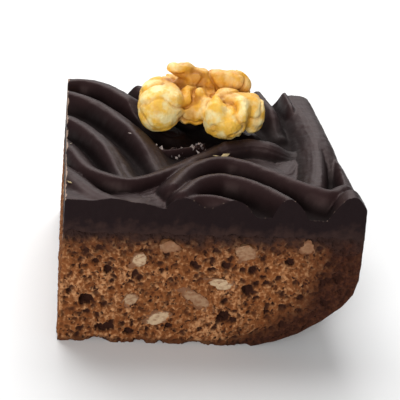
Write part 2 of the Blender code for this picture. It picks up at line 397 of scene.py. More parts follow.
@dataclass(frozen=True)
class ChocolateFinish:
    """Set dark chocolate: satin on the combed top, duller and bluer at the knife's cut, with painted shade in
    its grooves.
    """

    top: Triple = (0.0125, 0.0060, 0.0064)
    # Paler maroon: a painted highlight on the ridge tops, and also random light flecks.
    fleck_and_highlight: Triple = (0.042, 0.020, 0.020)
    # Near black: painted shade in the grooves between the ridges.
    groove_shade: Triple = (0.0020, 0.0009, 0.0011)
    cut: Triple = (0.0045, 0.0020, 0.0032)
    soaked: Triple = (0.030, 0.015, 0.012)
    scuffed: Triple = (0.30, 0.21, 0.16)
    sheen: float = 0.06
    satin: float = 0.48
    dull: float = 0.62

    def material(self) -> bpy.types.Material:
        """Builds the material from the skin's cut, crest, foot and scuff marks and from noise; by the crest
        mark it paints shade into the grooves and a highlight onto the ridge tops.

        Returns:
            The material.
        """
        sheet = MaterialSheet("set_chocolate", {
            "Specular IOR Level": 0.17,
            "Specular Tint": (1.0, 0.68, 0.63, 1),
            "Coat Roughness": 0.46,
            "Coat IOR": 1.45,
        })
        cut = sheet.mark("cut")
        crest = sheet.mark("crest")
        cloud = sheet.grain(9, 3)
        fleck = sheet.grain(0.6, 3)
        streak = sheet.grain(1.4, 2, (1, 1, 0.25))
        # Painted shade: where the crest mark is low, in the grooves, the chocolate is coloured near black.
        colour = sheet.blend(crest.eased(0.2, 0.9), self.groove_shade, self.top)
        # Painted highlight: high, cloudy places on the ridges are lightened towards the paler maroon.
        colour = sheet.blend((crest * 0.9 + cloud * 0.9 - 0.85).clamped() * 0.55, colour, self.fleck_and_highlight)
        colour = sheet.blend(cut * (0.6 + streak * 0.4), colour, self.cut)
        blotch = sheet.grain(2.0, 4)
        run_down = sheet.mark("foot") * 0.8 + blotch * 1.6 - 1.1
        colour = sheet.blend(run_down.eased(0, 0.7) * 0.75, colour, self.soaked)
        colour = sheet.blend(fleck.eased(0.72, 0.86) * 0.4, colour, self.fleck_and_highlight)
        colour = sheet.blend((sheet.mark("scuff") + fleck - 0.95).eased(0, 0.3), colour, self.scuffed)
        gloss = self.satin + cut * (self.dull - self.satin) + cloud * 0.12 - 0.06
        gloss = gloss + (1 - cut) * (1 - crest.eased(0.1, 0.6)) * 0.35
        height = sheet.bump(fleck + streak * cut, 0.05, 0.5)
        coat = (1 - cut) * (0.25 + 0.75 * crest.eased(0.1, 0.7)) * (self.sheen - 0.3 * cloud)
        return sheet.feed(Base_Color=colour, Roughness=gloss, Coat_Weight=coat, Normal=height)


@dataclass(frozen=True)
class CrumbFinish:
    """Open brownie crumb: brown walls, bubbles and pores painted dark with shade, a darker baked side and a
    chocolate-soaked top.
    """

    wall: Triple = (0.265, 0.103, 0.034)
    pale: Triple = (0.46, 0.225, 0.100)
    red: Triple = (0.165, 0.048, 0.012)
    # Near black: painted shade in the bubbles and pores.
    hollow_shade: Triple = (0.028, 0.008, 0.004)
    crust: Triple = (0.036, 0.010, 0.005)
    soaked: Triple = (0.026, 0.0115, 0.009)

    def material(self) -> bpy.types.Material:
        """Builds the material from the skin's pit, crust and soak marks and from noise, with painted shade in
        the bubbles and pores.

        Returns:
            The material.
        """
        sheet = MaterialSheet("open_crumb", {"Specular IOR Level": 0.15})
        fine = sheet.grain(0.75, 3)
        middle = sheet.grain(2.2, 3)
        patch = sheet.grain(9, 2)
        pore = sheet.grain(0.95, 1)
        colour = sheet.blend((fine * 2.2 + middle * 0.8 - 1.1).clamped(), self.red, self.wall)
        pale_walls = fine * 1.6 + middle * 0.8 + patch * 0.5 - 1.4
        colour = sheet.blend(pale_walls.eased(0.0, 0.45), colour, self.pale)
        # Painted shade: the noise's pores are coloured dark, as holes in shadow.
        colour = sheet.blend(1 - pore.eased(0.27, 0.40), colour, self.hollow_shade)
        colour = sheet.blend((sheet.mark("crust") * (0.50 + fine * 0.9)).clamped(), colour, self.crust)
        # Painted shade: the deeper bubbles are coloured darker, by the pit mark.
        colour = sheet.blend(sheet.mark("pit_shade"), colour, self.hollow_shade)
        colour = sheet.blend(sheet.mark("soak"), colour, self.soaked)
        height = sheet.bump(fine + middle + pore.eased(0.27, 0.45), 0.3, 0.8)
        return sheet.feed(Base_Color=colour, Roughness=0.78 + fine * 0.2, Normal=height)


@dataclass(frozen=True)
class KernelFinish:
    """Walnut kernel: pale straw on the lobes, amber skin in the folds."""

    pale: Triple = (0.98, 0.80, 0.38)
    straw: Triple = (0.93, 0.54, 0.070)
    amber: Triple = (0.72, 0.30, 0.014)
    brown: Triple = (0.38, 0.13, 0.010)

    def material(self) -> bpy.types.Material:
        """Builds the material from the skin's fold and amber marks and from noise.

        Returns:
            The material.
        """
        sheet = MaterialSheet("walnut_kernel", {"Specular IOR Level": 0.4, "Subsurface Weight": 0.06,
                                                "Subsurface Radius": (0.0020, 0.0012, 0.0005)})
        cloud = sheet.grain(3.2, 3)
        fine = sheet.grain(0.5, 3)
        vein = sheet.grain(1.8, 4, (1, 1, 0.4))
        colour = sheet.blend(cloud.eased(0.38, 0.60), self.pale, self.straw)
        colour = sheet.blend((sheet.mark("amber") * 1.2 + vein * 1.4 - 0.72).clamped(), colour, self.amber)
        colour = sheet.blend(sheet.mark("fold") * 0.6, colour, self.amber)
        colour = sheet.blend((sheet.mark("fold") + vein - 1.05).eased(0, 0.6) * 0.8, colour, self.brown)
        height = sheet.bump(fine * 1.6 + cloud, 0.16, 0.7)
        return sheet.feed(Base_Color=colour, Roughness=0.42 + fine * 0.25, Normal=height)


@dataclass(frozen=True)
class CutNutFinish:
    """Cut nut meat, from near white to tan by the piece's tone, with a browner rim."""

    pale: Triple = (0.46, 0.32, 0.19)
    tan: Triple = (0.20, 0.085, 0.032)
    rim: Triple = (0.15, 0.055, 0.017)
    crumb: Triple = (0.19, 0.075, 0.028)

    def material(self) -> bpy.types.Material:
        """Builds the material from the skin's tone and rim marks and from noise.

        Returns:
            The material.
        """
        sheet = MaterialSheet("cut_nut", {"Specular IOR Level": 0.4})
        fine = sheet.grain(0.5, 3)
        middle = sheet.grain(1.5, 2)
        colour = sheet.blend((sheet.mark("tone") + middle * 0.5 - 0.25).clamped(), self.pale, self.tan)
        smear = sheet.grain(1.1, 4, (1, 1, 1.6))
        covered = smear * 2.6 + sheet.mark("rim") * 0.8 + sheet.mark("tone") * 0.2 - 1.22
        colour = sheet.blend(covered.eased(0, 0.7) * 0.9, colour, self.crumb)
        colour = sheet.blend((sheet.mark("rim") * (0.5 + fine)).clamped(), colour, self.rim)
        height = sheet.bump(fine + middle, 0.15, 0.6)
        return sheet.feed(Base_Color=colour, Roughness=0.5 + fine * 0.2, Normal=height)


@dataclass(frozen=True)
class FlakeFinish:
    """Freshly broken chocolate: pinkish brown, each flake a little lighter or darker, some nearly white."""

    dark: Triple = (0.045, 0.026, 0.025)
    light: Triple = (0.42, 0.34, 0.31)
    nut: Triple = (0.36, 0.27, 0.13)

    def material(self) -> bpy.types.Material:
        """Builds the material from the flakes' tone mark, where past 1 stands for a chip of nut.

        Returns:
            The material.
        """
        sheet = MaterialSheet("broken_chocolate", {"Specular IOR Level": 0.4, "Roughness": 0.45})
        tone = sheet.mark("tone")
        colour = sheet.blend(tone.eased(0.45, 1.0), self.dark, self.light)
        return sheet.feed(Base_Color=sheet.blend(tone.eased(1.0, 1.2), colour, self.nut))


# The square and its parts


@dataclass(frozen=True)
class CutSquare:
    """The sizes that every part of the square shares, in millimetres."""

    width: float = 64.0
    depth: float = 60.0
    overall: float = 65.6
    top_left: float = 28.2
    top_right: float = 29.7
    tray_heights: tuple[float, ...] = (0.0, 1.5, 4.0, 7.6, 11.2, 14.8, 18.6, 23.0, 29.7)
    tray_reach: tuple[float, ...] = (44.0, 49.0, 54.2, 59.0, 62.8, 65.0, 65.6, 65.4, 64.8)

    def cake_top(self, x: np.ndarray) -> np.ndarray:
        """Height of the cake, which rises a little towards the tray."""
        return self.top_left + (self.top_right - self.top_left) * x / self.width

    def tray_side(self, z: np.ndarray) -> np.ndarray:
        """How far right the side that lay against the tray reaches at each height."""
        return np.interp(z, self.tray_heights, self.tray_reach)


SQUARE = CutSquare()


class Finish(Protocol):
    """Anything that makes its own material."""

    def material(self) -> bpy.types.Material:
        """Builds the material."""


class Part:
    """One piece of the brownie, built from its skin and set in the frame, mostly in place of plain solids."""

    name: ClassVar[str]
    slot: ClassVar[str]
    sharp: ClassVar[float | None] = None
    finish: Finish

    def skin(self) -> Skin:
        """The piece's closed skin."""
        raise NotImplementedError

    def solids(self) -> tuple[str, ...]:
        """The solids that the piece stands in for: the one that is named as its slot is, in most pieces."""
        return (self.slot,)

    def build(self) -> bpy.types.Object:
        """Builds and dresses the piece.

        Returns:
            The piece's object.
        """
        piece = self.skin().piece(self.name, self.sharp)
        piece.data.materials.append(self.finish.material())
        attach(piece, ROOT)
        if self.solids():
            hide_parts(*self.solids())
        return piece


class Side(Enum):
    """The square's four upright sides, with their outward directions in plan."""

    FRONT = (0.0, -1.0)
    RIGHT = (1.0, 0.0)
    BACK = (0.0, 1.0)
    LEFT = (-1.0, 0.0)


@dataclass(frozen=True)
class CombRidge:
    """One ridge that the comb left: its rise, its reach to the left and right, its route, and its fade."""

    steps: ClassVar[int] = 9
    gentler: ClassVar[float] = 0.3
    fade_from: ClassVar[float] = 0.62

    rise: float
    left: float
    right: float
    route: tuple[Pair, ...]
    fade: float = 0.0

    def height(self, plan: np.ndarray) -> tuple[np.ndarray, np.ndarray]:
        """The ridge's rise over the groove floor.

        The distance to the nearest stretch of the route is measured. The rise falls off with it as a power
        of one less the share of the reach squared, and the power is higher on the left than on the right.
        Round an end of the route, the reach and the power turn smoothly from one side's to the other's.
        From fade_from on, as a share of the route, the rise sinks by the fade.

        Args:
            plan: Places in plan, x and y along the last axis.

        Returns:
            The rise, and the signed distance from the crest, at each place.
        """
        line = curve_through(self.route, self.steps)
        start, span = line[:-1], np.diff(line, axis=0)
        to_start = plan[:, None, :] - start
        along = np.clip(np.einsum("nmk,mk->nm", to_start, span) / (span**2).sum(axis=1), 0, 1)
        offset = to_start - along[..., None] * span
        away = np.hypot(offset[..., 0], offset[..., 1])
        nearest = away.argmin(axis=1)
        row = np.arange(len(plan))
        near_offset, near_span = offset[row, nearest], span[nearest]
        away = away[row, nearest]
        cross = near_span[:, 0] * near_offset[:, 1] - near_span[:, 1] * near_offset[:, 0]
        side = cross / np.maximum(np.hypot(near_span[:, 0], near_span[:, 1]) * away, 1e-6)
        leftness = 0.5 + 0.5 * np.clip(side, -1, 1)
        inside = np.clip(away / (self.right + (self.left - self.right) * leftness), 0, 1)
        sunk = 1 - self.fade * ease((nearest + along[row, nearest]) / len(span), self.fade_from, 1.0)
        return self.rise * sunk * (1 - inside**2) ** (1.0 + self.gentler * leftness), away * side


@dataclass
class CombedIcing(Part):
    """The chocolate icing: combed into ridges on top, cut clean on three sides, rounded along the tray."""

    name: ClassVar[str] = "combed_icing"
    slot: ClassVar[str] = "icing"
    sharp: ClassVar[float] = 50

    cell: float = 0.27
    groove_floor: float = 32.4
    blend: float = 0.3
    edge_round: float = 3.4
    edge_flare: float = 0.8
    wall_rows: int = 18
    nut_middle: Pair = (31.8, 42.6)
    nut_bed: Pair = (13.5, 9.5)
    bed_height: float = 34.9
    bed_slope: float = 9.0
    raised: float = 0.85
    fine_scratch: float = 0.08
    broad_scratch: float = 0.15
    sway: float = 0.16
    tremble: float = 0.07
    least_drop: float = 0.35
    foot_sunk: float = 0.45
    foot_waver: float = 0.9
    front_scuff: float = 0.42
    finish: ChocolateFinish = ChocolateFinish()
    ridges: tuple[CombRidge, ...] = (
        CombRidge(6.2, 8.0, 3.0, ((-5, 50), (0, 57.5), (5, 58.5), (10, 55), (15, 48.5), (20, 42),
                  (24, 37)), 0.4),
        CombRidge(5.5, 7.5, 2.7, ((-4, 52.5), (1, 51), (7, 46), (13.5, 35), (18, 24.5), (20, 17)), 0.45),
        CombRidge(5.1, 7.0, 2.7, ((-4, 39), (1, 36), (6, 28.5), (9.5, 20), (12, 12)), 0.35),
        CombRidge(4.3, 5.5, 2.3, ((-4, 31), (0, 23.7), (5, 12.5), (13, 8.2), (20.8, 12.4), (29, 21),
                  (37, 30)), 0.2),
        CombRidge(4.3, 2.0, 6.0, ((37, 30), (43, 32.6), (48.5, 31.6), (53.5, 31.6)), 0.5),
        CombRidge(3.6, 4.5, 5.2, ((-4, 18), (0.6, 12.4), (6, 4), (12, -1.5))),
        CombRidge(5.6, 6.0, 3.0, ((23, 5), (26.5, 12), (31.5, 17.4), (36.5, 18.8), (41.5, 16.2),
                  (47, 11.6), (53, 6.8), (57.5, 5.2), (61, 8))),
        CombRidge(5.2, 1.7, 30, ((60, -6), (60.4, 2), (61.2, 9), (62.2, 17), (62.8, 25), (62.9, 33)), 0.2),
        CombRidge(5.1, 6.5, 2.5, ((55.4, 9), (57.3, 17), (58.8, 25), (60.2, 35))),
        CombRidge(5.4, 7.4, 30, ((60.5, 34), (60.6, 38), (60.4, 44), (59.8, 54), (58.6, 64))),
        CombRidge(7.0, 5.4, 5.6, ((60.7, -6), (60.6, 0), (61.0, 4), (61.6, 9)), 0.6),
        CombRidge(5.7, 5.0, 2.8, ((24.5, 1.5), (28.5, 7.4), (33, 10), (37.5, 9.2), (42, 5.8), (46, 1.2),
                  (49, -4))),
        CombRidge(4.7, 4.2, 2.6, ((23.5, -1.5), (27.5, 1.4), (31.5, 1.6), (35.5, -0.4), (39, -4))),
        CombRidge(5.2, 3.6, 3.6, ((17, 64), (19.5, 57), (25, 50), (31, 47))),
        CombRidge(5.1, 3.6, 3.6, ((33, 64), (35.5, 55), (41, 47), (45, 39)), 0.4),
        CombRidge(5.9, 3.4, 3.4, ((48.5, 64), (50.0, 56), (51.2, 48), (52.4, 40)), 0.6),
        CombRidge(5.9, 2.4, 2.4, ((56.4, 64), (56.4, 59), (56.8, 52), (57.4, 45)), 0.6),
        CombRidge(3.0, 9.0, 9.0, ((-4, 3), (6, -1), (14, 1))),
        CombRidge(2.5, 8.0, 8.0, ((14, 1), (20, 5), (26, 10))),
        CombRidge(1.7, 9.0, 9.0, ((44, 24), (50, 20), (53, 24))),
        CombRidge(3.0, 1.8, 1.3, ((17.5, 27.5), (22, 26.6), (27.5, 28.4), (32, 31.4))),
    )

    def surface(self, plan: np.ndarray) -> tuple[np.ndarray, np.ndarray]:
        """The combed top.

        The ridges' rises are joined by a soft maximum over the groove floor. Fine scratches run along each
        ridge, as noise on the distance from its crest that dies out in the grooves. The walnut's bed is
        pressed flat. The side along the tray drops off as a quarter circle, less so at the front, where a
        ridge stands up to the edge.

        Args:
            plan: Places in plan, x and y along the last axis.

        Returns:
            The height, and how near to a crest each place is from 0 to 1.
        """
        rises, offsets = zip(*(ridge.height(plan) for ridge in self.ridges))
        rises, offsets = np.array(rises), np.array(offsets)
        top = self.groove_floor + soft_max(rises, self.blend)
        top = top - self.blend * math.log(len(rises)) + self.raised
        highest = rises.argmax(axis=0)
        row = np.arange(len(plan))
        crest = rises[highest, row] / np.array([ridge.rise for ridge in self.ridges])[highest]
        line = np.stack([offsets[highest, row] * 1.3, highest * 9.7, plan[:, 1] * 0.05], axis=-1)
        scratches = self.fine_scratch * noise(line * 1.9, 3) + self.broad_scratch * noise(line * 0.55, 7)
        top += ease(crest, 0.02, 0.35) * scratches
        top += self.sway * rough(flat_points(plan), 8.0, 2, 5)
        off_nut = np.hypot((plan[:, 0] - self.nut_middle[0]) / self.nut_bed[0],
                           (plan[:, 1] - self.nut_middle[1]) / self.nut_bed[1])
        bed = self.bed_height + 0.15 * rough(flat_points(plan), 3.0, 3, 8)
        bed += self.bed_slope * np.clip(off_nut - 1, 0, None)
        top = -soft_max(np.array([-top, -bed]), 0.25)
        over_edge = np.clip(plan[:, 0] - (SQUARE.width - self.edge_round), 0, self.edge_round)
        dropped = self.least_drop + (1 - self.least_drop) * ease(plan[:, 1], 3.0, 12.0)
        return top - dropped * (self.edge_round - np.sqrt(self.edge_round**2 - over_edge**2)), crest

    def skin(self) -> Skin:
        """The closed skin: the combed grid, walls dropped from its rim, and a flat underside.

        The top is a grid over the plan. The wall's parameters are the place along the rim and the way down,
        and its foot is wavy where chocolate ran into the crumb.

        Returns:
            The skin, with cut, crest, foot and scuff marks.
        """
        count_x, count_y = round(SQUARE.width / self.cell), round(SQUARE.depth / self.cell)
        along_x, along_y = np.meshgrid(
            np.linspace(0, 1, count_x + 1), np.linspace(0, 1, count_y + 1), indexing="ij"
        )
        plan = np.stack([along_x.ravel() * SQUARE.width, along_y.ravel() * SQUARE.depth], axis=-1)
        height, crest = self.surface(plan)
        top = np.column_stack([plan, height])
        number = np.arange(len(top)).reshape(count_x + 1, count_y + 1)
        rim = np.concatenate([number[:-1, 0], number[-1, :-1], number[:0:-1, -1], number[0, :0:-1]])
        down = np.linspace(0, 1, self.wall_rows + 1)[1:, None]
        rim_top = top[rim]
        waver = self.foot_waver * rough(rim_top * (1, 1, 0), 3.8, 4, 21)
        foot = SQUARE.cake_top(rim_top[:, 0]) - self.foot_sunk + waver
        wall = np.repeat(rim_top[None], self.wall_rows, axis=0)
        wall[..., 2] += (foot - rim_top[:, 2]) * down
        wall[..., 0] += self.edge_flare * down * (rim_top[:, 0] > SQUARE.width - 1e-6)
        start = len(top)
        loops = np.vstack([rim, start + np.arange(wall.size // 3).reshape(self.wall_rows, -1)])
        loops = np.hstack([loops, loops[:, :1]])
        corners = np.vstack([top, wall.reshape(-1, 3)])
        faces = grid_faces(number) + grid_faces(loops) + [loops[-1, -2::-1].tolist()]
        trembles = [rough(corners, 2.2, 3, seed) for seed in (31, 41, 51)]
        corners = corners + self.tremble * np.stack(trembles, axis=-1)
        cut = np.concatenate([np.zeros(start), np.ones(len(corners) - start)])
        cut[rim] = 1
        crest = np.concatenate([crest, np.zeros(len(corners) - start)])
        low = np.concatenate([np.zeros(start), np.repeat(ease(down, 0.25, 1.0), len(rim))])
        near_left = 1 - ease(corners[:, 0] + 0.5 * rough(corners, 2.5, 2, 61), 0.05, 0.5)
        drop = np.concatenate([np.zeros(start), (down * (rim_top[:, 2] - foot)).ravel()])
        near_front = 1 - ease(corners[:, 1] + 0.4 * rough(corners, 1.8, 2, 63), 0.05, 0.45)
        scuff = np.maximum(near_left, self.front_scuff * near_front) * (1 - ease(drop, 0.1, 0.7))
        return Skin(corners, faces, {"cut": cut, "crest": crest, "foot": low, "scuff": scuff})


def flat_points(plan: np.ndarray) -> np.ndarray:
    """Plan places with a height of 0."""
    return np.column_stack([plan, np.zeros(len(plan))])


@dataclass
class TornFlakes(Part):
    """Shards of chocolate torn up along the ledge in front of the walnut."""

    name: ClassVar[str] = "torn_flakes"
    slot: ClassVar[str] = "icing"
    sharp: ClassVar[float] = 20

    icing: CombedIcing
    count: int = 64
    run: tuple[Pair, ...] = ((20.5, 29.0), (24.5, 27.6), (28.5, 28.8), (32.5, 31.8))
    spread: float = 1.5
    sizes: Pair = (0.22, 0.75)
    rarity: float = 2.5
    flatness: Triple = (1.0, 0.6, 0.35)
    chips: tuple[tuple[float, float, float, float], ...] = (
        (35.6, 20.4, 1.0, 1.35), (33.4, 19.9, 0.5, 1.3), (1.0, 24.0, 0.5, 1.1), (0.9, 7.5, 0.55, 1.2),
        (1.0, 45.0, 0.45, 1.25), (14.6, 30.5, 0.45, 1.0),
    )
    finish: FlakeFinish = FlakeFinish()

    def skin(self) -> Skin:
        """All the shards' skins.

        Each shard is a flattened octahedron of random half sizes, turned at random and strewn about a curve,
        with its middle a third of its size above the icing. The first ones are chips at given places, by
        plan place, size and tone.

        Returns:
            The shards as one skin, with a tone mark.
        """
        cells = np.column_stack([np.arange(self.count), np.zeros(self.count, int)])
        draw = scatter(cells, 501, 9)
        line = curve_through(self.run, 24)
        middle = line[(draw[:, 0] * (len(line) - 1)).astype(int)] + (draw[:, 1:3] - 0.5) * 2 * self.spread
        size = self.sizes[0] + (self.sizes[1] - self.sizes[0]) * draw[:, 3] ** self.rarity
        tips = np.array([(1, 0, 0), (0, 1, 0), (-1, 0, 0), (0, -1, 0), (0, 0, 1), (0, 0, -1)], float)
        chips = np.array(self.chips)
        middle[:len(chips)], size[:len(chips)], tone = chips[:, :2], chips[:, 2], draw[:, 8]
        tone[:len(chips)] = chips[:, 3]
        shape = tips[None] * (size[:, None] * np.array(self.flatness) * (0.6 + draw[:, 4:7]))[:, None]
        turns = np.array([Quaternion((a - 0.5, b - 0.5, c - 0.5), 6.28 * d).to_matrix()
                          for a, b, c, d in draw[:, [5, 7, 8, 1]]])
        shape = np.einsum("nij,nkj->nki", turns, shape)
        lift = self.icing.surface(middle)[0] + size / 3
        corners = shape + np.column_stack([middle, lift])[:, None]
        faces = np.array([(0, 1, 4), (1, 2, 4), (2, 3, 4), (3, 0, 4),
                          (1, 0, 5), (2, 1, 5), (3, 2, 5), (0, 3, 5)])
        faces = faces[None] + 6 * np.arange(self.count)[:, None, None]
        return Skin(corners.reshape(-1, 3), faces.reshape(-1, 3).tolist(), {"tone": np.repeat(tone, 6)})

    def solids(self) -> tuple[str, ...]:
        """None, because the shards lie loose on the icing."""
        return ()


@dataclass(frozen=True)
class SetNut:
    """A nut piece that a cut passes through: its side, place across and up, half sizes and turn."""

    grown: ClassVar[float] = 1.2
    touching: ClassVar[float] = 0.01

    node: str
    side: Side
    middle: Pair
    half: Pair
    turn: float

    @classmethod
    def from_node(cls, node: str) -> "SetNut":
        """Reads a piece's side, place, half sizes and turn off the frame's solid.

        The side is the one whose plane its box touches. The turn comes from the spread of its corners on
        that plane, and the half sizes from the farthest corners along and across it, grown a little.

        Args:
            node: The solid's name.

        Returns:
            The nut piece.
        """
        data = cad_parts[node].data
        raw = np.empty(len(data.vertices) * 3)
        data.vertices.foreach_get("co", raw)
        corners = from_frame(raw.reshape(-1, 3))
        if corners[:, 1].min() < cls.touching:
            side, flat = Side.FRONT, corners[:, [0, 2]]
        elif corners[:, 1].max() > SQUARE.depth - cls.touching:
            side, flat = Side.BACK, corners[:, [0, 2]]
        else:
            side, flat = Side.LEFT, corners[:, [1, 2]]
        middle = (flat.min(axis=0) + flat.max(axis=0)) / 2
        ways = np.linalg.eigh(np.cov((flat - middle).T))[1][:, ::-1]
        reach = np.abs((flat - middle) @ ways).max(axis=0)
        turn = math.atan2(ways[1, 0], ways[0, 0])
        return cls(node, side, tuple(middle), tuple(reach * cls.grown), turn)

    def local(self, across: np.ndarray, up: np.ndarray) -> tuple[np.ndarray, np.ndarray]:
        """Turns places on the side to the piece's own axes.

        Args:
            across: Places along the side, in plan millimetres.
            up: Heights.

        Returns:
            The places along and across the piece, as shares of its half sizes.
        """
        right, above = across - self.middle[0], up - self.middle[1]
        cos, sin = math.cos(self.turn), math.sin(self.turn)
        return (right * cos + above * sin) / self.half[0], (above * cos - right * sin) / self.half[1]


@dataclass
class CrumbCake(Part):
    """The cake: one wall that runs round all four sides, closed by a top and an underside."""

    name: ClassVar[str] = "crumb_cake"
    slot: ClassVar[str] = "cake"

    nuts: tuple[SetNut, ...]
    columns: tuple[int, int, int, int] = (256, 100, 196, 222)
    rows: int = 112
    corner: float = 0.5
    finish: CrumbFinish = CrumbFinish()
    small_bubbles: tuple[tuple[float, Pair, float, int], ...] = (
        (0.9, (0.2, 0.5), 0.95, 0), (1.5, (0.3, 0.78), 0.9, 1), (2.1, (0.45, 0.95), 0.7, 9),
    )
    waver: float = 0.42
    pocket: float = 1.4
    pocket_edge: Pair = (0.80, 0.36)
    chipped: Pair = (0.9, 0.8)
    tray_crust: Pair = (4.5, 17.0)
    foot_crust: float = 0.75
    upper_crust: float = 0.3
    upper_reach: Pair = (4.0, 10.0)
    soak_reach: Pair = (0.9, 5.6)
    front_bubbles: tuple[tuple[float, float, float, float], ...] = (
        (5.8, 10.9, 3.4, 3.0), (10.3, 3.6, 4.4, 2.4), (41.0, 14.8, 2.4, 3.2), (36.4, 7.6, 2.8, 2.8),
        (10.0, 18.6, 2.0, 2.1), (35.4, 20.6, 2.4, 1.6), (28.2, 21.0, 1.9, 1.6), (49.4, 22.4, 2.6, 2.0),
        (57.4, 17.0, 1.6, 2.6), (46.0, 9.4, 1.7, 1.6), (21.5, 18.9, 1.3, 1.3), (22.3, 23.0, 1.6, 1.3),
        (2.0, 12.9, 1.6, 1.6), (7.2, 20.5, 1.6, 1.5), (15.9, 2.9, 2.6, 1.8), (44.0, 18.4, 1.4, 1.2),
        (15.0, 16.0, 1.4, 1.3),
    )

    def depth_of(self, side: Side, across: np.ndarray, up: np.ndarray) -> tuple[np.ndarray, np.ndarray]:
        """How far the crumb is hollowed below a side's plane.

        Bubbles of several sizes overlap, over places that noise shifts a little, so that none is quite round.
        The small ones are given by spacing, radii, share and seed. The front's largest are given by place,
        width and height. Nut pieces lie in pockets.

        Args:
            side: The side.
            across: Places along it, in plan millimetres.
            up: Heights.

        Returns:
            The depth in millimetres, and how dark each place is painted as the shade of a hollow, from 0 to
            1.
        """
        seed = 100 + 10 * list(Side).index(side)
        spot = np.stack([across, up, np.full(across.shape, seed * 3.3)], axis=-1)
        right = across + self.waver * rough(spot, 1.5, 3, seed)
        above = up + self.waver * rough(spot, 1.5, 3, seed + 3)
        depth = np.max([bubbles(right, above, spacing, radii, share, seed + step)
                        for spacing, radii, share, step in self.small_bubbles], axis=0)
        largest = 1.15 if side is Side.FRONT else 1.7
        depth = np.maximum(depth, 1.2 * bubbles(right, above, 4.2, (0.5, largest), 0.55, seed + 2))
        if side is Side.FRONT:
            for x, z, width, height in self.front_bubbles:
                aside, raised = (right - x) / (width / 2), (above - z) / (height / 2)
                inside = np.clip(1 - aside**2 - raised**2, 0, None)
                depth = np.maximum(depth, 0.8 * min(width, height) * inside**0.4)
        if side is Side.RIGHT:
            depth = 0.4 * depth + 0.4 * np.clip(rough(spot, 2.6, 4, seed + 8), -0.2, None)
        # Painted shade: the deeper a bubble, the more it is coloured as a dark hollow.
        hollow_shade = ease(depth, 0.2, 0.85)
        depth = depth + 0.10 * rough(spot, 0.9, 2, seed + 5) + 0.18 * rough(spot, 5.0, 2, seed + 6)
        for nut in self.nuts:
            if nut.side is side:
                along, aside = nut.local(across, up)
                edge = self.pocket_edge[0] + self.pocket_edge[1] * rough(spot, 1.7, 3, seed + 7)
                inside = ease(edge - np.hypot(along, aside), 0, 0.14)
                depth = depth * (1 - inside) + self.pocket * inside
                hollow_shade = hollow_shade * (1 - ease(1.15 - np.hypot(along, aside), 0, 0.2))
        return depth, hollow_shade

    def skin(self) -> Skin:
        """The closed skin.

        The wall's parameters are the place round the square and the way up. Each point is on the outline,
        pushed in by the hollows there along a direction that turns smoothly at the corners. Rings that
        shrink towards the middle close the top and the underside.

        Returns:
            The skin, with pit marks of painted shade in the bubbles, and crust and soak marks.
        """
        rows = np.linspace(0, 1, self.rows + 1)
        points, pushes, pit_shades, outs = [], [], [], []
        for side, count in zip(Side, self.columns):
            share, level = np.meshgrid(np.arange(count) / count, rows, indexing="xy")
            reach = SQUARE.tray_side(level * SQUARE.top_right)
            x = {Side.FRONT: share * reach, Side.RIGHT: reach, Side.BACK: (1 - share) * reach,
                 Side.LEFT: np.zeros_like(reach)}[side]
            y = {Side.FRONT: 0 * share, Side.RIGHT: share * SQUARE.depth,
                 Side.BACK: 0 * share + SQUARE.depth, Side.LEFT: (1 - share) * SQUARE.depth}[side]
            z = level * SQUARE.cake_top(x)
            across = x if side in (Side.FRONT, Side.BACK) else y
            depth, hollow_shade = self.depth_of(side, across, z)
            length = reach if side in (Side.FRONT, Side.BACK) else SQUARE.depth
            to_start, to_end = share * length, (1 - share) * length
            order = list(Side)
            place = order.index(side)
            before, after = order[place - 1].value, order[(place + 1) % 4].value
            near_start = np.exp(-((to_start / self.corner) ** 2))
            near_end = np.exp(-((to_end / self.corner) ** 2))
            out = np.array(side.value) + near_start[..., None] * before + near_end[..., None] * after
            out /= np.linalg.norm(out, axis=-1, keepdims=True)
            calm = ease(np.minimum(to_start, to_end), 0.1, 1.2)
            push = depth * (0.15 + 0.85 * calm) + 0.3 * self.corner * (near_start + near_end)
            points.append(np.stack([x, y, z], axis=-1))
            outs.append(out)
            pushes.append(push)
            pit_shades.append(hollow_shade * calm)
        points, outs = np.concatenate(points, axis=1), np.concatenate(outs, axis=1)
        pushes, pit_shades = np.concatenate(pushes, axis=1), np.concatenate(pit_shades, axis=1)
        at_rim = 1 - ease(points[..., 2], 0.0, 1.6)
        chips = np.clip(rough(points, 5.5, 2, 71) + 0.05, 0, None) * at_rim
        soak_edge = ease(SQUARE.cake_top(points[..., 0]) - points[..., 2], 0.0, 0.7)
        pushes = pushes * (0.3 + 0.7 * soak_edge) + 0.25 * (1 - soak_edge) + self.chipped[0] * chips
        wall = points.copy()
        wall[..., :2] -= outs * pushes[..., None]
        wall[..., 2] += self.chipped[1] * chips
        from_tray = SQUARE.tray_side(points[..., 2]) - points[..., 0]
        wavy = 1.6 * rough(points, 6.0, 3, 81)
        crust = 1 - ease(from_tray + wavy, *self.tray_crust)
        at_foot = 1 - ease(points[..., 2] + 0.4 * wavy, 0.4, 1.8)
        crust = np.maximum(crust, self.foot_crust * at_foot)
        below_icing = SQUARE.cake_top(points[..., 0]) - points[..., 2] + 1.5 * rough(points, 3.0, 3, 91)
        soak = 1 - ease(below_icing, *self.soak_reach)
        near_icing = 1 - ease(below_icing + wavy, *self.upper_reach)
        crust = np.maximum(crust, self.upper_crust * near_icing)
        return self.closed(wall, {"pit_shade": pit_shades, "crust": crust, "soak": soak})

